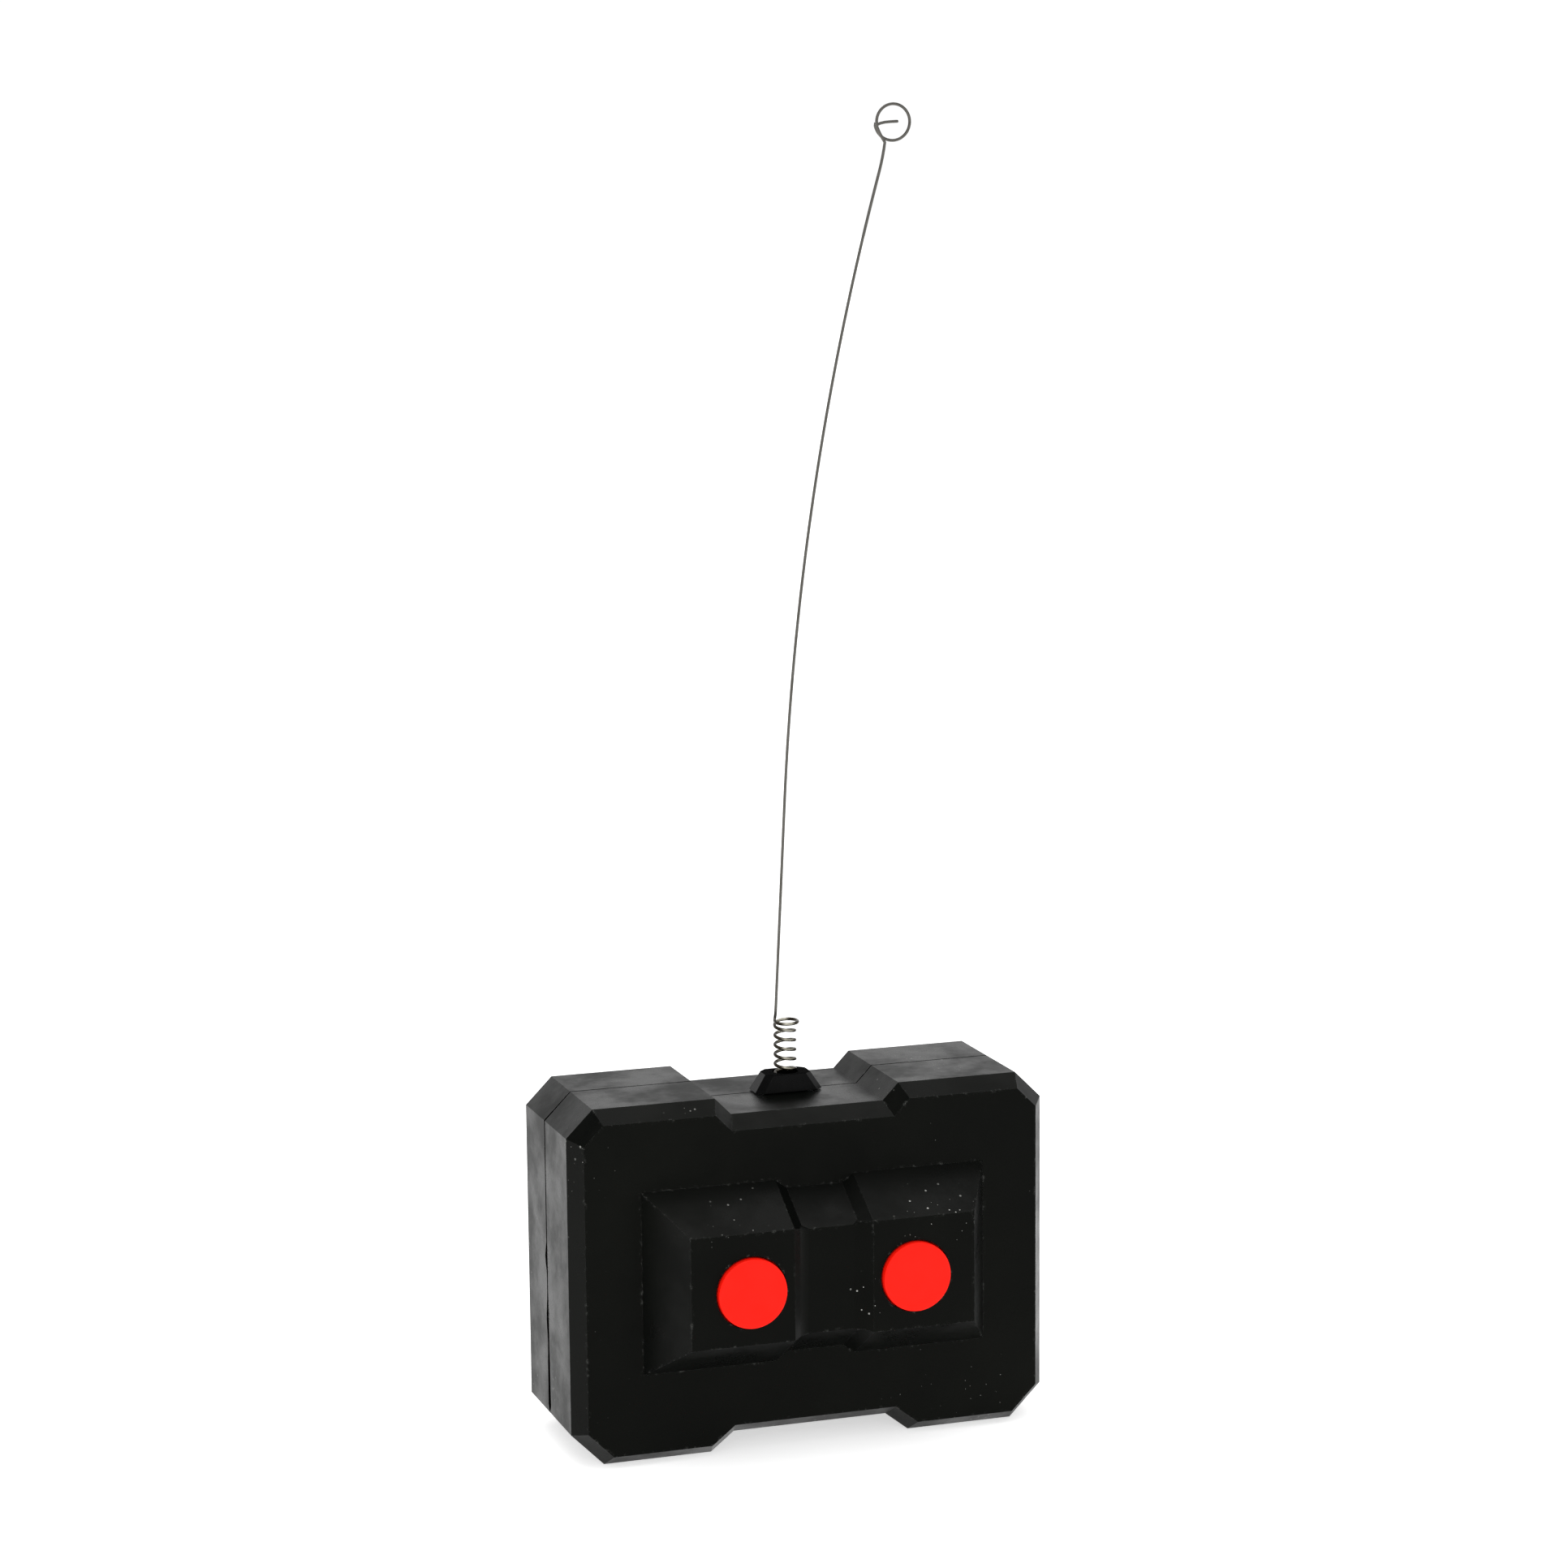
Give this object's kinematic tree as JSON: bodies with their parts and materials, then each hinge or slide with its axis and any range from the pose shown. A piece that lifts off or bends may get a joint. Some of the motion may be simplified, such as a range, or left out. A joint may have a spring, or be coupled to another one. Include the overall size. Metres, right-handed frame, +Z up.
{
  "type": "handheld radio trigger with whip antenna",
  "caption": "Handheld radio trigger: a chamfered black shell case, a raised block with red push buttons, a battery door and a wire whip antenna on a coil spring.",
  "frame": {"origin": "centre of the bounding box's bottom, level with the case's feet", "axes": "+X to the right seen from the button side, +Y to the battery door, +Z up along the antenna"},
  "size_m": [0.084, 0.0414, 0.224],
  "materials": {
    "black_plastic": "satin moulded ABS",
    "gloss_black": "glossy moulded plastic",
    "red_plastic": "even red plastic",
    "spring_steel": "bright drawn wire",
    "zinc_screw": "zinc plated",
    "nickel": "nickel plated",
    "board_green": "solder mask",
    "dark_epoxy": "moulded epoxy",
    "tan_resin": "dipped resin",
    "copper": "enamelled wire",
    "cell_jacket": "plain film jacket over a metal can",
    "red_insulation": "PVC",
    "black_insulation": "PVC"
  },
  "bodies": {
    "housing": {"front_shell": "black_plastic", "rear_shell": "black_plastic", "case_screw_lower_left": "zinc_screw", "case_screw_lower_right": "zinc_screw", "case_screw_upper_left": "zinc_screw", "case_screw_upper_right": "zinc_screw", "left_switch_housing": "dark_epoxy", "left_switch_cover": "nickel", "right_switch_housing": "dark_epoxy", "right_switch_cover": "nickel", "circuit_board": "board_green", "board_screw_left": "zinc_screw", "board_screw_right": "zinc_screw", "board_screw_top": "zinc_screw", "encoder_chip": "dark_epoxy", "crystal": "nickel", "radio_transistor": "dark_epoxy", "electrolytic_capacitor": "cell_jacket", "disc_capacitor_1": "tan_resin", "disc_capacitor_2": "tan_resin", "resistor_1": "tan_resin", "resistor_2": "tan_resin", "resistor_3": "tan_resin", "tuning_coil": "copper", "upper_cell": "cell_jacket", "lower_cell": "cell_jacket", "bridge_contact": "nickel", "positive_contact": "nickel", "negative_contact": "nickel", "bridge_spring": "nickel", "negative_spring": "nickel", "positive_lead": "red_insulation", "negative_lead": "black_insulation", "antenna_lead": "black_insulation", "antenna_boss": "gloss_black", "antenna_terminal": "nickel", "antenna_coil_lower": "spring_steel"},
    "left_key": {"left_button": "red_plastic", "left_switch_plunger": "dark_epoxy"},
    "right_key": {"right_button": "red_plastic", "right_switch_plunger": "dark_epoxy"},
    "door": {"battery_door": "black_plastic"},
    "coil_middle": {"antenna_coil_upper": "spring_steel"},
    "whip": {"antenna_whip": "spring_steel"}
  },
  "joints": [
    {"name": "left_button_press", "type": "slide", "parent": "housing", "child": "left_key", "axis": [0, 1, 0], "range_m": [0, 0.0009], "stiffness_N_per_m": 1200, "springref_m": -0.0004},
    {"name": "right_button_press", "type": "slide", "parent": "housing", "child": "right_key", "axis": [0, 1, 0], "range_m": [0, 0.0009], "stiffness_N_per_m": 1200, "springref_m": -0.0004},
    {"name": "battery_door_tilt", "type": "hinge", "parent": "housing", "child": "door", "pos_m": [0, 0.02074, 0.04738], "axis": [1, 0, 0], "range_deg": [0, 60]},
    {"name": "antenna_sway", "type": "hinge", "parent": "housing", "child": "coil_middle", "pos_m": [0.0006, 0.00674, 0.0633], "axis": [0, 1, 0], "range_deg": [-40, 40], "stiffness_Nm_per_rad": 0.012, "deforming": ["antenna_coil_lower"]},
    {"name": "antenna_nod", "type": "hinge", "parent": "coil_middle", "child": "whip", "pos_m": [0.0006, 0.00674, 0.0677], "axis": [1, 0, 0], "range_deg": [-40, 40], "stiffness_Nm_per_rad": 0.012, "deforming": ["antenna_coil_upper"]}
  ]
}
